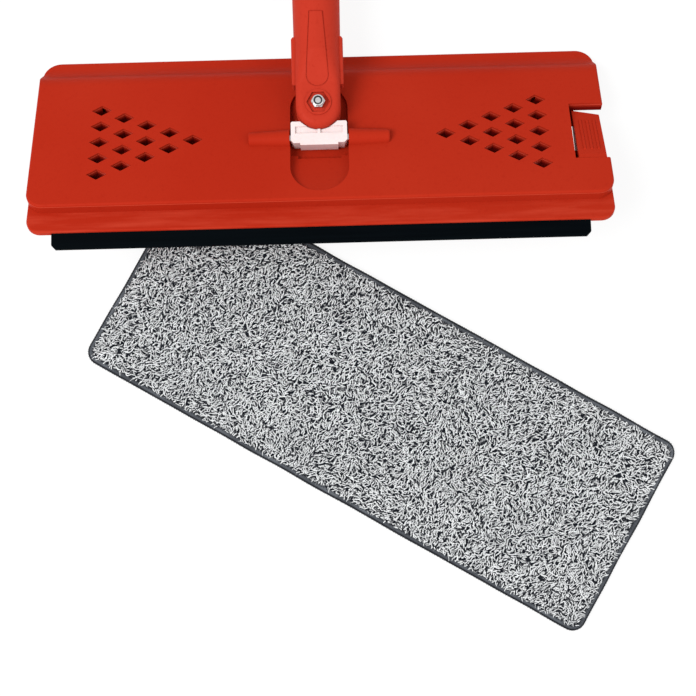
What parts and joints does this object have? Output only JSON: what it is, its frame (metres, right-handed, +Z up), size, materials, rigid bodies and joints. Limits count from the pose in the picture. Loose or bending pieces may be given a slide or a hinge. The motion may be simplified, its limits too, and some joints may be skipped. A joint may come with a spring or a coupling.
{
  "type": "flat mop",
  "caption": "Flat mop head with drain holes, floor squeegee and release tab on a folding yoke and telescopic pole, laid down beside its loose microfibre pad.",
  "frame": {"origin": "centre of the plan outline at floor level", "axes": "+X along the head's length to its release tab, +Y from the head back along the pole, +Z up from the floor"},
  "size_m": [0.367, 1.0494, 0.0528],
  "materials": {
    "red_plastic": "satin moulded polypropylene",
    "white_plastic": "satin acetal",
    "black_rubber": "matt",
    "black_plastic": "matt",
    "zinc_steel": "bright zinc",
    "nylon": "matt",
    "pole_coat": "smooth powder coat",
    "hook_tape": "hook tape",
    "pad_pile": "twisted microfibre pile",
    "pad_cloth": "woven backing"
  },
  "bodies": {
    "head": {"deck_shell": "red_plastic", "base_plate": "red_plastic", "hook_strip_front": "hook_tape", "hook_strip_rear": "hook_tape", "base_screws": "zinc_steel", "pivot_pin": "zinc_steel", "squeegee_blade": "black_rubber", "blade_clip": "black_plastic", "tab_pin": "zinc_steel", "tab_spring": "zinc_steel"},
    "tab": {"release_tab": "red_plastic"},
    "yoke": {"yoke": "white_plastic", "swing_bush": "zinc_steel"},
    "lower_pole": {"socket": "red_plastic", "swing_bolt": "zinc_steel", "lock_nut": "zinc_steel", "nut_insert": "nylon", "lower_tube": "pole_coat", "socket_rivet": "zinc_steel", "collar_sleeve": "red_plastic"},
    "collar": {"twist_collar": "red_plastic"},
    "upper_pole": {"upper_tube": "pole_coat", "slide_bush": "white_plastic", "pole_grip": "red_plastic", "grip_cap": "red_plastic", "loop_pin": "zinc_steel"},
    "loop": {"hang_loop": "red_plastic"},
    "pad": {"pad_backing": "pad_cloth", "pad_pile": "pad_pile", "pad_border": "pad_cloth"}
  },
  "joints": [
    {"name": "handle_tilt", "type": "hinge", "parent": "head", "child": "yoke", "pos_m": [-0.01853, -0.23939, 0.03622], "axis": [1, 0, 0], "range_deg": [0, 125.9]},
    {"name": "handle_swing", "type": "hinge", "parent": "yoke", "child": "lower_pole", "pos_m": [-0.01853, -0.2208, 0.03566], "axis": [0, 0.0302, 0.9995], "range_deg": [-40, 40]},
    {"name": "collar_twist", "type": "hinge", "parent": "lower_pole", "child": "collar", "pos_m": [-0.01853, 0.30136, 0.01988], "axis": [0, 0.9995, -0.0302], "range_deg": [0, 90]},
    {"name": "pole_extend", "type": "slide", "parent": "lower_pole", "child": "upper_pole", "axis": [0, 0.9995, -0.0302], "range_m": [0, 0.38]},
    {"name": "loop_swivel", "type": "hinge", "parent": "upper_pole", "child": "loop", "pos_m": [-0.01853, 0.48828, 0.01424], "axis": [0, 0.9995, -0.0302], "range_deg": [-90, 90]},
    {"name": "tab_press", "type": "hinge", "parent": "head", "child": "tab", "pos_m": [0.13147, -0.26151, 0.04009], "axis": [-1, 0, 0], "range_deg": [0, 3], "stiffness_Nm_per_rad": 0.4, "springref_deg": -2.86},
    {"name": "pad_slide", "type": "slide", "parent": "head", "child": "pad", "axis": [0, -1, 0], "range_m": [0, 0.15]}
  ]
}
